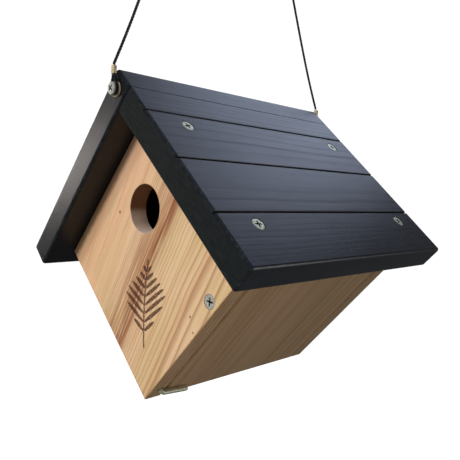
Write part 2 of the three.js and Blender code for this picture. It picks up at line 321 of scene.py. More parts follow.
def pale_timber(name, grain, tone=(1.0, 1.0, 1.0), streaks=(), extra=None, knots=(), lines=1.0):
    """Planed softwood, unfinished, with summer lines and fibres.

    A streak is its place across the grain, half its width, its strength and its colour, a knot its
    place and radius, and lines is the strength of the summer lines.
    """
    shader = Shader(name)
    across, through, along = grain_place(shader, grain)
    rings = growth_rings(shader, grain, across, through, along, 9.0)
    fibre = shader.noise(shader.pack(across * 2.6, through * 2.6, along * 0.05 + grain.seed), 3.0, 0.6)
    fleck = shader.noise(shader.pack(across * 5.0, through * 5.0, along * 0.35 + grain.seed), 2.0, 0.5)
    cloud = shader.noise(shader.pack(across * 0.045, through * 0.045, along * 0.012 + grain.seed), 2.0)
    stripe = shader.noise(shader.pack(across * 0.16, through * 0.16, along * 0.006 + grain.seed), 2.0)

    def toned(red, green, blue):
        return paint(red * tone[0], green * tone[1], blue * tone[2])

    color = shader.mix(shader.smooth(cloud, 0.35, 0.65), toned(229, 193, 154), toned(218, 187, 141))
    color = shader.mix(shader.smooth(stripe, 0.42, 0.68) * 0.45, color, toned(202, 143, 101))
    color = shader.mix(rings * (0.66 * lines), color, toned(152, 100, 62))
    color = shader.mix(shader.smooth(fibre, 0.5, 0.8) * 0.42, color, toned(178, 128, 86))
    color = shader.mix(shader.smooth(fleck, 0.6, 0.78) * 0.5, color, toned(150, 100, 62))
    color = shader.mix(shader.smooth(fibre, 0.5, 0.2) * 0.25, color, toned(243, 212, 176))
    # Streaks are bands of tone along the grain. The front panel's pale first streak is painted sheen.
    for place, width, strength, tint in streaks:
        wave = shader.noise(shader.pack(along * 0.02, grain.seed, place), 2.0)
        miss = shader.single("ABSOLUTE", across - place + (wave - 0.5) * 7.0)
        patch = shader.noise(shader.pack(across * 0.5, 3.0, along * 0.022 + grain.seed), 2.0)
        warm = shader.smooth(miss, width, 0.0) * shader.smooth(patch, 0.2, 0.62)
        color = shader.mix(warm * strength, color, toned(*tint))
    rough = 0.5 + 0.14 * rings + 0.12 * fibre
    for x, y, z, size in knots:
        gap = shader.vector("DISTANCE", shader.timber_place(), (x, y, z), output="Value")
        gap = gap + (fleck - 0.5) * size * 0.8
        color = shader.mix(shader.smooth(gap, size * 1.5, size * 0.6) * 0.75, color, toned(128, 74, 44))
    sawn = end_grain(shader, grain)
    pore = shader.noise(shader.pack(across * 3.4, through * 3.4, along * 0.8), 2.0)
    color = shader.mix(sawn * (0.3 + 0.4 * rings), color, toned(160, 116, 76))
    color = shader.mix(sawn * shader.smooth(pore, 0.55, 0.72) * 0.4, color, toned(120, 80, 52))
    edge = edge_distance(shader, grain)
    nick = shader.noise(shader.vector("MULTIPLY", shader.timber_place(), (0.9, 0.9, 0.9)), 3.0)
    worn = shader.smooth(edge + (nick - 0.5) * 1.6, 1.3, 0.3)
    color = shader.mix(worn * 0.4, color, toned(176, 132, 92))
    height = rings * -0.35 + fibre * 0.3 + fleck * 0.18 + sawn * pore * 0.6 - worn * 0.2
    if extra:
        color, rough, height = extra(shader, color, rough, height)
    return shader.finish(color, rough, height, 0.14, Specular_IOR_Level=0.42)


def stained_timber(name, grain, inward, end_rough, end_bump):
    """Softwood under a thin dark stain: the grain shows through and the edges have rubbed.

    Inward is the side its underside faces, 1 or -1, and the end values are for its sawn ends. The underside
    is painted near-black as shade.
    """
    shader = Shader(name)
    across, through, along = grain_place(shader, grain)
    rings = growth_rings(shader, grain, across, through, along, 8.0)
    fibre = shader.noise(shader.pack(across * 1.7, through * 1.7, along * 0.022 + grain.seed), 4.0, 0.62)
    brush = shader.noise(shader.pack(across * 0.55, through * 0.55, along * 0.012 + grain.seed), 3.0, 0.6)
    smear = shader.noise(shader.pack(across * 0.06, through * 0.06, along * 0.018 + grain.seed), 3.0, 0.55)
    dust = shader.noise(shader.vector("MULTIPLY", shader.timber_place(), (0.35, 0.22, 0.35)), 4.0, 0.65)
    color = shader.mix(shader.smooth(smear, 0.3, 0.7), paint(30, 33, 40), paint(40, 45, 55))
    color = shader.mix(rings * 0.5, color, paint(17, 19, 23))
    color = shader.mix(shader.smooth(fibre, 0.52, 0.75) * 0.45, color, paint(58, 64, 76))
    color = shader.mix(shader.smooth(brush, 0.56, 0.78) * 0.35, color, paint(66, 72, 88))
    color = shader.mix(shader.smooth(fibre, 0.48, 0.25) * 0.5, color, paint(14, 16, 20))
    color = shader.mix(shader.smooth(dust, 0.62, 0.78) * 0.25, color, paint(70, 76, 90))
    sawn = end_grain(shader, grain)
    pore = shader.noise(shader.pack(across * 2.8, through * 2.8, along * 0.5), 3.0)
    color = shader.mix(sawn * 0.85, color, paint(15, 18, 17))
    line = shader.noise(shader.pack(across * 0.12, through * 2.6, along * 0.5), 3.0, 0.6)
    color = shader.mix(sawn * shader.smooth(line, 0.46, 0.68) * 0.5, color, paint(52, 58, 56))
    # Painted shade: faces turned to the underside are darkened towards near-black.
    under = shader.smooth(shader.dot(shader.object_normal, (inward * 0.707, 0, -0.707)), 0.8, 0.95)
    color = shader.mix(under * 0.7, color, paint(11, 11, 12))
    edge = edge_distance(shader, grain)
    chip = shader.noise(shader.vector("MULTIPLY", shader.timber_place(), (0.5, 0.28, 0.5)), 4.0, 0.7)
    rubbed = shader.smooth(edge, 2.6, 0.8) * shader.smooth(chip, 0.5, 0.62)
    color = shader.mix(rubbed * 0.35, color, paint(70, 72, 76))
    bare = shader.smooth(edge, 1.0, 0.5) * shader.smooth(chip, 0.68, 0.7)
    color = shader.mix(bare * 0.85, color, paint(168, 150, 128))
    planed = 0.27 + 0.08 * rings + 0.2 * fibre - 0.05 * rubbed
    rough = planed * (1.0 - sawn) + sawn * (end_rough + 0.06 * pore)
    height = rings * -0.12 + fibre * 0.36 + brush * 0.3
    height = height * (1.0 - sawn) + sawn * (pore + line) * end_bump - bare * 0.8
    return shader.finish(color, rough, height, 0.16, Specular_IOR_Level=0.3)


def entrance_and_fern(shader, color, rough, height):
    """The entrance's cut wall, painted pale at its lower end as if lit from above (partly the paler end grain
    there) and painted darker brown as shade elsewhere, and a fern frond burnt in below it.
    """
    centre = Matrix.Rotation(math.radians(45), 3, "Y") @ Vector((ENTRANCE_X, 0, -ENTRANCE_X))
    spot = shader.vector("SUBTRACT", shader.house_place(), (centre.x, 0, centre.z - ROPE_RISE))
    flat = shader.vector("LENGTH", shader.vector("MULTIPLY", spot, (1, 0, 1)), output="Value")
    inside = shader.smooth(flat, ENTRANCE_RADIUS + 0.35, ENTRANCE_RADIUS + 0.1)
    # Painted light and shade: the wall's lower end is painted pale where light falls, the rest darker brown
    # as shade.
    low = shader.smooth(shader.dot(spot, (-0.42, 0, -0.91)), 5.0, 11.0)
    wall = shader.mix(low, paint(138, 96, 68), paint(255, 226, 206))
    color = shader.mix(inside, color, wall)
    place = shader.vector("SUBTRACT", shader.house_place(), FERN_FOOT)
    up = shader.dot(place, (0, 0, 1))
    sway = up * up * 0.0022
    side = shader.dot(place, (1, 0, 0)) - sway
    reach = shader.single("ABSOLUTE", side)
    along = up - reach * 0.62 - side * 0.04
    cell = along / FERN_PITCH
    part = shader.single("ABSOLUTE", shader.single("FRACT", cell) - 0.5) * FERN_PITCH
    rank = shader.single("FLOOR", cell) * FERN_PITCH
    length = shader.smooth(rank, -3.0, 9.0, 9.0, 22.0) * shader.smooth(rank, 44.0, 8.0, 0.16, 1.0)
    share = reach / length
    width = 2.9 * shader.single("SQRT", shader.larger(share * (1.0 - share) * 4.0, 0.0)) - 0.15
    ragged = shader.noise(shader.vector("MULTIPLY", shader.house_place(), (1.3, 1.3, 1.3)), 2.0)
    leaf = shader.smooth(width - part * 1.6 + (ragged - 0.5) * 1.0, -0.1, 0.45)
    leaf = leaf * shader.smooth(share, 1.0, 0.97)
    leaf = leaf * shader.smooth(rank, -1.0, 0.0) * shader.smooth(rank, 45.0, 44.0)
    stem = shader.smooth(reach, 0.95, 0.45) * shader.smooth(up, -9.0, -8.0) * shader.smooth(up, 50.0, 49.0)
    face = shader.smooth(shader.dot(place, (0, 1, 0)), 0.35, 0.25)
    mark = shader.larger(leaf, stem) * face
    faded = mark * shader.smooth(ragged, 0.2, 0.6, 0.55, 0.95)
    color = shader.mix(faded, color, paint(76, 42, 32))
    return color, rough + mark * 0.1, height - mark * 1.6


# ---- Metal and rope ----
def zinc_steel(name, warm=0.0, bright=1.0):
    """Bright zinc plate, a little cloudy, with spots of rust. Warm is how far it has yellowed."""
    shader = Shader(name)
    place = shader.house_place()
    cloud = shader.noise(shader.vector("MULTIPLY", place, (0.5, 0.5, 0.5)), 3.0, 0.6)
    scratch = shader.noise(shader.vector("MULTIPLY", place, (6.0, 0.9, 6.0)), 3.0, 0.6)
    rust = shader.noise(shader.vector("MULTIPLY", place, (0.8, 0.8, 0.8)), 4.0, 0.7)
    clean, dull = (
        paint(red * bright, green * bright, blue * bright * (1.0 - 0.35 * warm))
        for red, green, blue in ((224, 227, 219), (196, 197, 188))
    )
    color = shader.mix(shader.smooth(cloud, 0.3, 0.7), clean, dull)
    color = shader.mix(shader.smooth(rust, 0.56, 0.8) * (0.3 + warm), color, paint(172, 150, 106))
    rough = 0.34 + 0.2 * cloud + 0.16 * scratch
    height = scratch * 0.5 + cloud * 0.5
    return shader.finish(color, rough, height, 0.03, Metallic=0.55)


def recess_shade_and_grime(name):
    """Painted shade in a screw's cross: a near-black finish, with an olive tint of oil and dust."""
    shader = Shader(name)
    grit = shader.noise(shader.vector("MULTIPLY", shader.house_place(), (1.6, 1.6, 1.6)), 3.0, 0.6)
    color = shader.mix(grit, paint(30, 30, 24), paint(78, 76, 62))
    return shader.finish(color, 0.5 + 0.3 * grit, grit, 0.05, Metallic=0.2)


def brass(name):
    """Pale brass, clouded, with darker scratches."""
    shader = Shader(name)
    place = shader.house_place()
    cloud = shader.noise(shader.vector("MULTIPLY", place, (0.7, 0.7, 0.7)), 3.0, 0.6)
    scratch = shader.noise(shader.vector("MULTIPLY", place, (5.0, 5.0, 1.2)), 3.0, 0.6)
    color = shader.mix(shader.smooth(cloud, 0.3, 0.7), paint(240, 224, 184), paint(220, 202, 156))
    color = shader.mix(shader.smooth(scratch, 0.6, 0.8) * 0.35, color, paint(150, 126, 84))
    return shader.finish(color, 0.3 + 0.22 * cloud, scratch + cloud * 0.5, 0.03, Metallic=0.45)


def black_rope(name):
    """Black nylon over fine wire rope."""
    shader = Shader(name)
    place = shader.house_place()
    wires = shader.noise(shader.vector("MULTIPLY", place, (4.0, 4.0, 4.0)), 3.0, 0.6)
    dusty = shader.noise(shader.vector("MULTIPLY", place, (0.4, 0.4, 0.4)), 3.0, 0.6)
    color = shader.mix(shader.smooth(dusty, 0.35, 0.7), paint(24, 25, 30), paint(40, 42, 52))
    color = shader.mix(shader.smooth(wires, 0.55, 0.8) * 0.5, color, paint(66, 70, 84))
    return shader.finish(color, 0.36 + 0.2 * wires, wires, 0.05)


# ---- Solids: each shell is its points and its faces ----
def turned(profile, segments=48):
    """Turns [radius, z] points, listed upwards on the outside, about +Z. Radius 0 is a pole."""
    points, rows, faces = [], [], []
    for radius, z in profile:
        count = 1 if radius == 0 else segments
        rows.append(range(len(points), len(points) + count))
        for i in range(count):
            angle = 2 * math.pi * i / segments
            points.append((radius * math.cos(angle), radius * math.sin(angle), z))
    for below, above in zip(rows, rows[1:]):
        faces += band(below, above, segments)
    return points, faces


def band(below, above, count):
    """The faces between two rows of points. A row of one point is a pole."""
    faces = []
    for i in range(count):
        j = (i + 1) % count
        if len(below) == 1:
            faces.append((below[0], above[j], above[i]))
        elif len(above) == 1:
            faces.append((below[i], below[j], above[0]))
        else:
            faces.append((below[i], below[j], above[j], above[i]))
    return faces


def lofted(rings, closed=False):
    """Joins rings of points, each with the same count. Open lofts get flat ends."""
    count = len(rings[0])
    points = [tuple(point) for ring in rings for point in ring]
    rows = [range(i * count, (i + 1) * count) for i in range(len(rings))]
    faces = []
    for below, above in zip(rows, rows[1:]):
        faces += band(below, above, count)
    if closed:
        faces += band(rows[-1], rows[0], count)
    else:
        faces.append(tuple(reversed(rows[0])))
        faces.append(tuple(rows[-1]))
    return points, faces


def moved(shell, matrix):
    return [tuple(matrix @ Vector(point)) for point in shell[0]], shell[1]


def joined(shells):
    points, faces = [], []
    for shell_points, shell_faces in shells:
        start = len(points)
        points += shell_points
        faces += [tuple(start + i for i in face) for face in shell_faces]
    return points, faces


def aim(place, direction):
    """Puts +Z along a direction, at a place."""
    turn = Vector((0, 0, 1)).rotation_difference(Vector(direction)).to_matrix().to_4x4()
    return Matrix.Translation(place) @ turn


def mesh_object(name, shell):
    points, faces = shell
    mesh = bpy.data.meshes.new(name)
    mesh.from_pydata(points, [], faces)
    work = bmesh.new()
    work.from_mesh(mesh)
    bmesh.ops.recalc_face_normals(work, faces=work.faces)
    work.to_mesh(mesh)
    work.free()
    return new_object(name, mesh)


def apply_modifiers(piece):
    bpy.context.view_layer.update()
    evaluated = piece.evaluated_get(bpy.context.evaluated_depsgraph_get())
    shaped = bpy.data.meshes.new_from_object(evaluated)
    piece.modifiers.clear()
    plain = piece.data
    piece.data = shaped
    bpy.data.meshes.remove(plain)


def cut(piece, shells):
    """Cuts closed shells that don't meet each other out of a piece."""
    tool = mesh_object("cutter", joined(shells))
    knife = piece.modifiers.new("cut", "BOOLEAN")
    knife.operation = "DIFFERENCE"
    knife.solver = "EXACT"
    knife.object = tool
    apply_modifiers(piece)
    bpy.data.objects.remove(tool)


def smooth_faces(piece, degrees):
    for polygon in piece.data.polygons:
        polygon.use_smooth = True
    piece.data.set_sharp_from_angle(angle=math.radians(degrees))
    even = piece.modifiers.new("even_normals", "WEIGHTED_NORMAL")
    even.keep_sharp = True


BODY_OF = {
    node: body
    for body, nodes in frame["record"]["behaviour"]["bodies"].items()
    for node in nodes
}


def fit(piece, node, matrix, material, degrees=32):
    """Puts a finished piece in the house in place of its CAD node. A list of materials fills its slots."""
    piece.data.transform(matrix)
    smooth_faces(piece, degrees)
    for each in material if isinstance(material, list) else [material]:
        piece.data.materials.append(each)
    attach(piece, BODY_OF[node])
    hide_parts(node)
    return piece


# ---- Rope ----
def curve_through(points, steps):
    """A smooth line through points, steps between each pair."""
    points = [Vector(point) for point in points]
    ends = [points[0] * 2 - points[1], *points, points[-1] * 2 - points[-2]]
    line = []
    for a, b, c, d in zip(ends, ends[1:], ends[2:], ends[3:]):
        for i in range(steps):
            t = i / steps
            slope = (c - a) * t
            bend = (a * 2 - b * 5 + c * 4 - d) * t * t
            swing = (b * 3 - a - c * 3 + d) * t**3
            line.append((b * 2 + slope + bend + swing) / 2)
    line.append(points[-1])
    return line


def frames_along(line):
    """A side direction at each point of a line, turned as little as possible."""
    side = (line[1] - line[0]).orthogonal().normalized()
    previous = (line[1] - line[0]).normalized()
    frames = []
    for i in range(len(line)):
        ahead = (line[min(i + 1, len(line) - 1)] - line[max(i - 1, 0)]).normalized()
        side = previous.rotation_difference(ahead) @ side
        side = (side - ahead * side.dot(ahead)).normalized()
        frames.append((ahead, side, ahead.cross(side)))
        previous = ahead
    return frames


def rod(line, radius, sides):
    """A round bar along a line. The radius is a number, or a function of (index, angle)."""
    rings = []
    for i, (point, (_, side, other)) in enumerate(zip(line, frames_along(line))):
        ring = []
        for k in range(sides):
            angle = 2 * math.pi * k / sides
            size = radius(i, angle) if callable(radius) else radius
            ring.append(point + (side * math.cos(angle) + other * math.sin(angle)) * size)
        rings.append(ring)
    return lofted(rings)


def twisted(line, diameter, pitch, sides=8):
    """Strands laid round a line, as wire rope is."""
    strand = diameter * STRAND_SHARE
    offset = diameter / 2 - strand
    frames = frames_along(line)
    run, total = [0.0], 0.0
    for a, b in zip(line, line[1:]):
        total += (b - a).length
        run.append(total)
    shells = []
    for s in range(STRANDS):
        path = []
        for point, (_, side, other), length in zip(line, frames, run):
            angle = 2 * math.pi * (length / pitch + s / STRANDS)
            path.append(point + (side * math.cos(angle) + other * math.sin(angle)) * offset)
        shells.append(rod(path, strand, sides))
    return joined(shells)


def make_rope(material):
    route = [Vector((0, y, z)) for y, z in ROPE_ROUTE]
    line = curve_through(route, 18)
    rope = mesh_object("wire_rope", twisted(line, ROPE_DIAMETER, ROPE_LAY))
    fit(rope, "hanging_rope", HOUSE, material, 60)
    return rope, [point * MM for point in line]


def make_hanger(rope_material, brass_material, zinc_material):
    """Eye, sleeve, washer and screw at both ends. Returns what hangs with the rope."""
    pieces = []
    for end_name, end in (("front", -1), ("back", 1)):
        face = end * ROOF_DEPTH / 2
        eye_y = face + end * EYE_OUT
        line = curve_through([Vector((x, eye_y, HANGER_Z + z)) for x, z in EYE_ROUTE], 12)
        eye = mesh_object(f"eye_{end_name}", twisted(line, EYE_RADIUS * 2, EYE_LAY))
        pieces.append(fit(eye, f"rope_eye_{end_name}", HOUSE, rope_material, 60))
        sleeve = mesh_object(f"crimped_sleeve_{end_name}", crimped_sleeve())
        matrix = HOUSE @ Matrix.Translation((0, eye_y, HANGER_Z + FERRULE_LIFT))
        pieces.append(fit(sleeve, f"ferrule_{end_name}", matrix, brass_material, 50))

        washer = mesh_object(f"cup_washer_{end_name}", round_washer())
        top = face + end * (STACK_GAP + WASHER_THICKNESS)
        place = aim((RIDGE_MIDDLE, top, -RIDGE_MIDDLE), (0, end, 0))
        fit(washer, f"hanger_washer_{end_name}", TIMBER @ place, brass_material)
        screw = pan_head_screw(f"pan_screw_{end_name}")
        top = face + end * (HEAD_OUT + HANGER_HEAD_HEIGHT)
        place = aim((RIDGE_MIDDLE, top, -RIDGE_MIDDLE), (0, end, 0))
        fit(screw, f"hanger_screw_{end_name}", TIMBER @ place, zinc_material)
    return pieces


def crimped_sleeve():
    """An oval sleeve pressed in at the middle, open at both ends."""
    wall, sides, steps = 0.42, 32, 14

    def ring(share, inset):
        pinch = 1 - 0.1 * math.exp(-(((share - 0.5) / 0.2) ** 2)) + 0.07 * max(0.0, share - 0.8) / 0.2
        z = share * FERRULE_HEIGHT
        points = []
        for k in range(sides):
            angle = 2 * math.pi * k / sides
            c, s = math.cos(angle), math.sin(angle)
            x = math.copysign(abs(c) ** 0.75, c) * (FERRULE_WIDTH / 2 * (2 - pinch) * 0.97 - inset)
            y = math.copysign(abs(s) ** 0.75, s) * (FERRULE_DEPTH / 2 * pinch - inset)
            points.append((x, y, z))
        return points

    outside = [ring(i / steps, 0.12 if i in (0, steps) else 0.0) for i in range(steps + 1)]
    inside = [ring(i / steps, wall) for i in range(steps, -1, -1)]
    return lofted(outside + inside, closed=True)


def round_washer():
    """A stamped washer, its upper face at z = 0, with a rolled rim."""
    inner = HANGER_SHANK + BORE_CLEARANCE
    outer, thick = WASHER_RADIUS, WASHER_THICKNESS
    profile = [
        (inner, -thick + 0.1), (inner + 0.1, -thick), (outer - 0.22, -thick),
        (outer - 0.05, -thick + 0.12), (outer, -thick / 2), (outer - 0.05, -0.14), (outer - 0.2, -0.02),
        (outer - 0.5, 0),
        (inner + 0.2, -0.02), (inner, -0.12), (inner, -thick + 0.1),
    ]
    return turned(profile, 56)


def cross_recess(reach, depth):
    """A tapering cross, cut from above z = 0."""
    levels = ((-depth, 0.24, 0.18), (-depth * 0.75, 0.5, 0.26), (0.0, 1.0, 0.46), (0.6, 1.12, 0.5))
    rings = []
    for z, span, half in levels:
        ring = []
        for k in range(4):
            turn = Matrix.Rotation(math.radians(90 * k), 3, "Z")
            length, width = span * reach, half * min(1.0, 0.55 + 0.45 * span)
            for x, y in ((width * 1.25, -width * 1.25), (length, -width), (length, width)):
                ring.append(turn @ Vector((x, y, z)))
        rings.append(ring)
    return lofted(rings)


def mark_recess(screw, reach, top):
    """Gives the recess's own faces the second finish."""
    for face in screw.data.polygons:
        x, y, z = face.center
        out = math.hypot(x, y)
        in_wall = out < reach and -2.0 < z < top and abs(face.normal.z) < 0.97
        in_floor = out < 0.8 and -2.2 < z < top
        if in_wall or in_floor:
            face.material_index = 1


def threaded(length, root, crest, pitch, start, sides=28):
    """A wood screw's shank below z = 0: plain up to start, then thread, then a point."""
    rings = []
    steps = int(length / pitch * 7)
    for i in range(steps + 1):
        z = -length + length * i / steps
        taper = min(1.0, (z + length) / 5.0 + 0.02)
        ring = []
        for k in range(sides):
            angle = 2 * math.pi * k / sides
            part = (z / pitch - k / sides) % 1.0
            ridge = max(0.0, 1 - abs(part - 0.5) * 5)
            fade = max(0.0, min(1.0, (-start - z) / 1.5))
            size = (root + (crest - root) * (ridge * fade + (1 - fade))) * taper
            ring.append((size * math.cos(angle), size * math.sin(angle), z))
        rings.append(ring)
    return rings


def countersunk_screw(name, head):
    """A flat head over a coarse thread, its top at z = 0."""
    rings = threaded(SCREW_LENGTH, SCREW_SHANK * 0.72, SCREW_SHANK, 1.9, HEAD_HEIGHT + 6)
    sides = len(rings[0])
    rings = [ring for ring in rings if ring[0][2] < -HEAD_HEIGHT]
    head_profile = [
        (SCREW_SHANK, -HEAD_HEIGHT), (head - 0.1, -0.5), (head, -0.36), (head, -0.22),
        (head - 0.14, -0.06), (head - 0.4, 0.0), (head * 0.62, 0.02),
    ]
    for radius, z in head_profile:
        ring = []
        for k in range(sides):
            angle = 2 * math.pi * k / sides
            ring.append((radius * math.cos(angle), radius * math.sin(angle), z))
        rings.append(ring)
    made = mesh_object(name, lofted(rings))
    reach = head * 0.6
    cut(made, [cross_recess(reach, 1.9)])
    mark_recess(made, reach, -0.1)
    return made


def pan_head_screw(name):
    """A domed head over a plain shank, its top at z = 0."""
    tip = -HANGER_HEAD_HEIGHT - HANGER_LENGTH
    shank = [(0, tip), (HANGER_SHANK * 0.9, tip + 4), (HANGER_SHANK, tip + 6)]
    shank.append((HANGER_SHANK, -HANGER_HEAD_HEIGHT))
    dome = ((1, 0.6), (0.95, 0.36), (0.82, 0.16), (0.55, 0.04), (0.3, 0))
    head = [(HANGER_HEAD - 0.2, -HANGER_HEAD_HEIGHT), (HANGER_HEAD, -HANGER_HEAD_HEIGHT + 0.15)]
    head += [(HANGER_HEAD * out, -HANGER_HEAD_HEIGHT * drop) for out, drop in dome]
    made = mesh_object(name, turned(shank + head + [(0, 0.01)], 40))
    reach = HANGER_HEAD * 0.62
    cut(made, [cross_recess(reach, 1.1)])
    mark_recess(made, reach, -0.15)
    return made


# ---- Screws ----
def screw_places():
    """Each roof and pivot screw's node, place on the face, direction out and head radius."""
    rows = [("upper", BOX_NEAR + UPPER_SCREW_DROP), ("lower", BOX_FAR - LOWER_SCREW_RISE)]
    places = []
    for end_name, y in (("front", FRONT_MIDDLE), ("back", BACK_MIDDLE)):
        for row_name, drop in rows:
            end_row = f"{end_name}_{row_name}"
            places.append((f"roof_screw_right_{end_row}", (drop, y, 0), (0, 0, 1), SCREW_HEAD))
            places.append((f"roof_screw_left_{end_row}", (0, y, -drop), (-1, 0, 0), SCREW_HEAD))
    places.append(("pivot_screw_front", (PIVOT_X, BOX_FRONT, PIVOT_Z), (0, -1, 0), PIVOT_HEAD))
    places.append(("pivot_screw_back", (PIVOT_X, BOX_BACK, PIVOT_Z), (0, 1, 0), PIVOT_HEAD))
    return places


def make_screws(pivot_finish, roof_finish):
    patterns = {
        head: countersunk_screw(f"screw_pattern_{head:.1f}".replace(".", "_"), head)
        for head in (SCREW_HEAD, PIVOT_HEAD)
    }
    for i, (node, face, out, head) in enumerate(screw_places()):
        piece = new_object(f"countersunk_{node}", patterns[head].data.copy())
        place = Vector(face) - Vector(out) * HEAD_SINK
        turn = Matrix.Rotation(math.radians(37 * i + 12), 4, "Z")
        material = roof_finish if head == SCREW_HEAD else pivot_finish
        fit(piece, node, TIMBER @ aim(place, out) @ turn, material)
    for pattern in patterns.values():
        bpy.data.objects.remove(pattern)


def screw_bores(low, high):
    """The bores of every screw that meets a board between two corners."""
    bores = []
    for _, face, out, head in screw_places():
        start, end = Vector(face), Vector(face) - Vector(out) * SCREW_LENGTH
        near = [min(a, b) for a, b in zip(start, end)]
        far = [max(a, b) for a, b in zip(start, end)]
        if all(near[k] < high[k] + 0.2 and far[k] > low[k] - 0.2 for k in range(3)):
            radius = SCREW_SHANK + BORE_CLEARANCE
            bottom = -SCREW_LENGTH - BORE_CLEARANCE
            rim = head + 0.18
            profile = [
                (0, bottom), (radius, bottom), (radius, -HEAD_HEIGHT - BORE_CLEARANCE), (rim, -0.55),
                (rim, 0.06), (rim + 0.3, 0.32), (rim + 0.3, 3), (0, 3),
            ]
            bores.append(moved(turned(profile, 40), aim(start - Vector(out) * HEAD_SINK, out)))
    return bores


# ---- Boards ----
def eased_board(name, low, high, easing, cutters, crisp=None):
    """A board between two corners with rounded edges, then its cuts. Edges at the crisp corner stay sharp."""
    low, high = Vector(low), Vector(high)
    work = bmesh.new()
    bmesh.ops.create_cube(work, size=1)
    size, middle = high - low, (high + low) / 2
    placing = Matrix.Translation(middle) @ Matrix.Diagonal((*size, 1))
    bmesh.ops.transform(work, matrix=placing, verts=work.verts)
    weights = work.edges.layers.float.new("bevel_weight_edge")
    for edge in work.edges:
        sharp = crisp and all(
            abs(vert.co.x - crisp[0]) < 0.01 and abs(vert.co.z - crisp[1]) < 0.01 for vert in edge.verts
        )
        edge[weights] = 0.15 if sharp else 1.0
    mesh = bpy.data.meshes.new(name)
    work.to_mesh(mesh)
    work.free()
    made = new_object(name, mesh)
    round_edges = made.modifiers.new("round_edges", "BEVEL")
    round_edges.limit_method = "WEIGHT"
    round_edges.width = easing
    round_edges.segments = 5
    apply_modifiers(made)
    if cutters:
        cut(made, cutters)
    return made


def groove(on_right, drop):
    """A milled groove along Y with softened lips."""
    lip = GROOVE_HALF + 0.35
    side = [
        (GROOVE_HALF - 0.25, -GROOVE_DEPTH), (GROOVE_HALF, -GROOVE_DEPTH + 0.3), (GROOVE_HALF, -0.5),
        (GROOVE_HALF + 0.1, -0.22), (lip, 0.02), (lip, 2),
    ]
    section = side + [(-a, b) for a, b in reversed(side)]
    rings = []
    for y in (ROOF_FRONT - 2, ROOF_BACK + 2):
        if on_right:
            rings.append([(drop + a, y, b) for a, b in section])
        else:
            rings.append([(-b, y, -drop + a) for a, b in section])
    return lofted(rings)


def grooves(on_right):
    return [groove(on_right, GROOVE_START + i * GROOVE_PITCH) for i in range(GROOVE_COUNT)]


def hanger_bores():
    radius, depth = HANGER_SHANK + BORE_CLEARANCE, HANGER_LENGTH - HEAD_OUT + BORE_CLEARANCE
    bore = turned([(0, -depth), (radius, -depth), (radius, 3), (0, 3)], 32)
    ends = ((ROOF_FRONT, -1), (ROOF_BACK, 1))
    return [moved(bore, aim((RIDGE_MIDDLE, y, -RIDGE_MIDDLE), (0, out, 0))) for y, out in ends]


def make_left_roof():
    low, high = (0, ROOF_FRONT, -LEFT_SLOPE), (ROOF_THICKNESS, ROOF_BACK, 0)
    cutters = grooves(False) + hanger_bores() + screw_bores(low, high)
    board = eased_board("stained_left_board", low, high, ROOF_EASING, cutters, crisp=(ROOF_THICKNESS, 0))
    grain = Grain((150, 0, -70), (0, 1, 0), (0, 0, 1), 0.0022, 4.7, (low, high))
    material = stained_timber("stained_left", grain, 1, 0.34, 0.04)
    fit(board, "roof_board_left", TIMBER, material)


def make_right_roof():
    low, high = (ROOF_THICKNESS + GLUE_GAP, ROOF_FRONT, -ROOF_THICKNESS), (RIGHT_SLOPE, ROOF_BACK, 0)
    cutters = grooves(True) + screw_bores(low, high)
    board = eased_board("stained_right_board", low, high, ROOF_EASING, cutters, crisp=(low[0], 0))
    grain = Grain((88, 0, -150), (0, 1, 0), (1, 0, 0), 0.0022, 1.3, (low, high))
    material = stained_timber("stained_right", grain, -1, 0.72, 0.5)
    fit(board, "roof_board_right", TIMBER, material)


def entrance_cutter():
    radius, face = ENTRANCE_RADIUS, WALL / 2
    hole = turned([
        (0, -WALL), (radius, -WALL), (radius, face - 0.5), (radius + 0.12, face - 0.2),
        (radius + 0.55, face + 0.1), (radius + 0.55, WALL), (0, WALL),
    ], 96)
    return moved(hole, aim((ENTRANCE_X, FRONT_MIDDLE, -ENTRANCE_X), (0, -1, 0)))


def latch_bore():
    radius, depth = LATCH_RADIUS + BORE_CLEARANCE, LATCH_SHANK + BORE_CLEARANCE
    bore = turned([(0, -depth), (radius, -depth), (radius, 2), (0, 2)], 32)
    return moved(bore, aim((BOX_FAR, FRONT_MIDDLE, LATCH_Z), (1, 0, 0)))


def make_front_panel():
    low, high = (PANEL_NEAR, BOX_FRONT, -BOX_FAR), (BOX_FAR, BOX_FRONT + WALL, -PANEL_NEAR)
    cutters = screw_bores(low, high) + [entrance_cutter(), latch_bore()]
    panel = eased_board("planed_front_panel", low, high, BOARD_EASING, cutters)
    grain = Grain((150, BOX_FRONT + 62, 0), (0.21, 0, -1), (1, 0, 0.21), 0.0029, 2.1, (low, high))
    knots = (
        (42.4, BOX_FRONT, -82.3, 1.1), (137.9, BOX_FRONT, -73.5, 0.8), (146.2, BOX_FRONT, -78, 0.7),
    )
    # The first streak, a broad pale pink band left of the entrance, is painted sheen. The others are
    # heartwood.
    streaks = (
        (-133.0, 46.0, 0.6, (244, 190, 154)), (-75.5, 11.0, 0.95, HEARTWOOD), (-88.0, 9.0, 0.6, HEARTWOOD),
        (-98.0, 5.0, 0.25, HEARTWOOD),
    )
    material = pale_timber("planed_front", grain, streaks=streaks, extra=entrance_and_fern, knots=knots)
    fit(panel, "front_panel", TIMBER, material)


def make_back_panel():
    low, high = (PANEL_NEAR, BOX_BACK - WALL, -BOX_FAR), (BOX_FAR, BOX_BACK, -PANEL_NEAR)
    panel = eased_board("planed_back_panel", low, high, BOARD_EASING, screw_bores(low, high))
    grain = Grain((40, BOX_BACK + 48, 0), (0.05, 0, -1), (1, 0, 0.05), 0.0026, 7.4, (low, high))
    streaks, knots = ((60.0, 8.0, 0.45, HEARTWOOD),), ((112, BOX_BACK, -60, 2.6),)
    material = pale_timber("planed_back", grain, streaks=streaks, knots=knots)
    fit(panel, "back_panel", TIMBER, material)


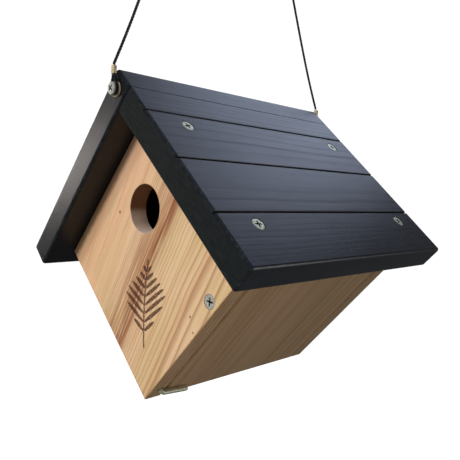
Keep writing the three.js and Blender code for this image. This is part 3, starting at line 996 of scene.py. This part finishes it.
def make_fixed_side():
    low = (PANEL_NEAR, BOX_FRONT + WALL + GLUE_GAP, -BOX_FAR)
    high = (BOX_FAR - WALL - DOOR_HEEL_GAP, BOX_BACK - WALL - GLUE_GAP, -BOX_FAR + WALL)
    side = eased_board("planed_fixed_side", low, high, BOARD_EASING, [])
    grain = Grain((0, -50, -BOX_FAR + 70), (1, 0, 0.03), (0, 1, 0), 0.0024, 9.2, (low, high))
    material = pale_timber("planed_side", grain, streaks=((40.0, 7.0, 0.4, HEARTWOOD),))
    fit(side, "fixed_side", TIMBER, material)


def make_door():
    low = (BOX_FAR - WALL, BOX_FRONT + WALL + DOOR_FRONT_GAP, -BOX_FAR)
    high = (BOX_FAR, BOX_BACK - WALL - DOOR_BACK_GAP, -BOX_NEAR - DOOR_TOP_GAP)
    door = eased_board("planed_cleanout_door", low, high, BOARD_EASING, screw_bores(low, high))
    grain = Grain((BOX_FAR - 95, 70, 0), (0, 0.03, -1), (0, 1, 0.03), 0.0022, 5.6, (low, high))
    material = pale_timber("planed_door", grain, tone=(0.98, 0.98, 0.97), lines=0.7)
    fit(door, "cleanout_door", TIMBER, material)


def make_latch(material):
    """A bent screw hook: threaded into the panel's edge, its arm across the door."""
    tilt = math.radians(LATCH_TILT)

    def place(out, along):
        y, z = FRONT_MIDDLE + along * math.cos(tilt), LATCH_Z - along * math.sin(tilt)
        return Vector((BOX_FAR + out, y, z))

    shank_steps, bend_steps, arm_steps = int((LATCH_SHANK + LATCH_NECK) / LATCH_STEP), 12, 30
    line = [place(-LATCH_SHANK + i * LATCH_STEP, 0) for i in range(shank_steps)]
    bend = LATCH_LIFT - LATCH_NECK
    for i in range(bend_steps):
        turn = math.pi / 2 * i / bend_steps
        line.append(place(LATCH_NECK + bend * math.sin(turn), bend * (1 - math.cos(turn))))
    line += [place(LATCH_LIFT, bend + (LATCH_ARM - bend) * i / arm_steps) for i in range(arm_steps + 1)]
    last = len(line) - 1

    def radius(i, angle):
        if i < shank_steps:
            part = (i * LATCH_STEP / LATCH_THREAD_PITCH - angle / (2 * math.pi)) % 1.0
            ridge = 0.8 + 0.2 * max(0.0, 1 - abs(part - 0.5) * 4)
            return LATCH_RADIUS * ridge * min(1.0, 0.1 + i * 0.02)
        blunt = (last - i) / 3
        return LATCH_RADIUS * (0.97 if blunt >= 1 else 0.72 + 0.25 * math.sqrt(1 - (1 - blunt) ** 2))

    hook = mesh_object("screw_hook", rod(line, radius, 24))
    fit(hook, "latch_hook", TIMBER, material, 50)


# ---- Studio ----
def area_light(name, place, aim_at, size, power, color):
    light = new_object(name, bpy.data.lights.new(name, "AREA"))
    light.data.shape = "RECTANGLE"
    light.data.size, light.data.size_y = size
    light.data.energy = power
    light.data.color = color
    light.location = place
    light.rotation_mode = "QUATERNION"
    light.rotation_quaternion = (Vector(aim_at) - Vector(place)).to_track_quat("-Z", "Y")
    return light


def make_world():
    """White where the camera sees it, dim where it lights the house."""
    world = bpy.data.worlds.new("studio")
    scene.world = world
    world.use_nodes = True
    nodes, links = world.node_tree.nodes, world.node_tree.links
    nodes.clear()
    seen, dim = nodes.new("ShaderNodeBackground"), nodes.new("ShaderNodeBackground")
    seen.inputs["Color"].default_value = (1, 1, 1, 1)
    seen.inputs["Strength"].default_value = 1.05
    dim.inputs["Color"].default_value = (0.93, 0.96, 1.0, 1)
    dim.inputs["Strength"].default_value = 0.11
    rays, mixed, output = (
        nodes.new("ShaderNodeLightPath"), nodes.new("ShaderNodeMixShader"), nodes.new("ShaderNodeOutputWorld")
    )
    links.new(rays.outputs["Is Camera Ray"], mixed.inputs[0])
    links.new(dim.outputs[0], mixed.inputs[1])
    links.new(seen.outputs[0], mixed.inputs[2])
    links.new(mixed.outputs[0], output.inputs["Surface"])


def make_floor():
    half, drop = 6, -1.2
    corners = [(-half, -half, drop), (half, -half, drop), (half, half, drop), (-half, half, drop)]
    floor = mesh_object("studio_floor", (corners, [(0, 1, 2, 3)]))
    shader = Shader("pale_floor")
    speck = shader.noise(shader.vector("MULTIPLY", shader.house_place(), (0.002, 0.002, 0.002)), 2.0)
    color = shader.mix(speck, paint(250, 250, 250), paint(246, 247, 248))
    material = shader.finish(color, 0.8, None, Emission_Color=(1, 1, 1, 1), Emission_Strength=1.0)
    floor.data.materials.append(material)
    floor.visible_diffuse = False
    floor.visible_glossy = False
    floor.visible_shadow = False


def make_lights():
    middle, soft_white = (0, 0, -0.26), (0.985, 1.0, 0.98)
    key = area_light("key", (-0.2, -1.5, 0.3), middle, (0.4, 0.4), 15.0, soft_white)
    high = area_light("high", (-0.62, -1.45, 0.66), middle, (0.3, 0.3), 9.0, soft_white)
    area_light("side", (-1.35, -0.70, -0.08), (-0.04, -0.1, -0.224), (0.2, 0.2), 2.6, (1.0, 0.9, 0.86))
    area_light("sky", (-0.33, 1.0, 0.64), (0.04, 0, -0.2), (0.9, 0.62), 5.1, (0.66, 0.75, 1.0))
    bounce_place, bounce_aim = (0.45, -0.36, -0.55), (0.06, -0.05, -0.3)
    bounce = area_light("floor_bounce", bounce_place, bounce_aim, (0.3, 0.3), 0.52, (1.0, 0.88, 0.72))
    glint = area_light("glint", (0.69, 0.47, -0.36), (0, -0.06, -0.37), (0.2, 0.45), 2.0, (0.98, 1.0, 1.0))
    for light in (key, high, bounce):
        light.visible_glossy = False
    glint.visible_diffuse = False


make_camera()
rope_finish = black_rope("coated_rope")
rope, rope_line = make_rope(rope_finish)
# The second zinc finish is painted shade in the screws' cross recesses, with a grimy tint.
zinc_finish = [zinc_steel("zinc_plate"), recess_shade_and_grime("recess_shade_and_grime")]
hanger_pieces = make_hanger(rope_finish, brass("soft_brass"), zinc_finish)
make_left_roof()
make_right_roof()
make_front_panel()
make_back_panel()
make_fixed_side()
make_door()
make_screws(zinc_finish, [zinc_steel("roof_zinc", 0.2, 1.12), zinc_finish[1]])
make_latch(zinc_steel("aged_zinc", 0.25))
make_world()
make_floor()
make_lights()
scene.view_settings.view_transform = "Standard"
scene.view_settings.look = "None"
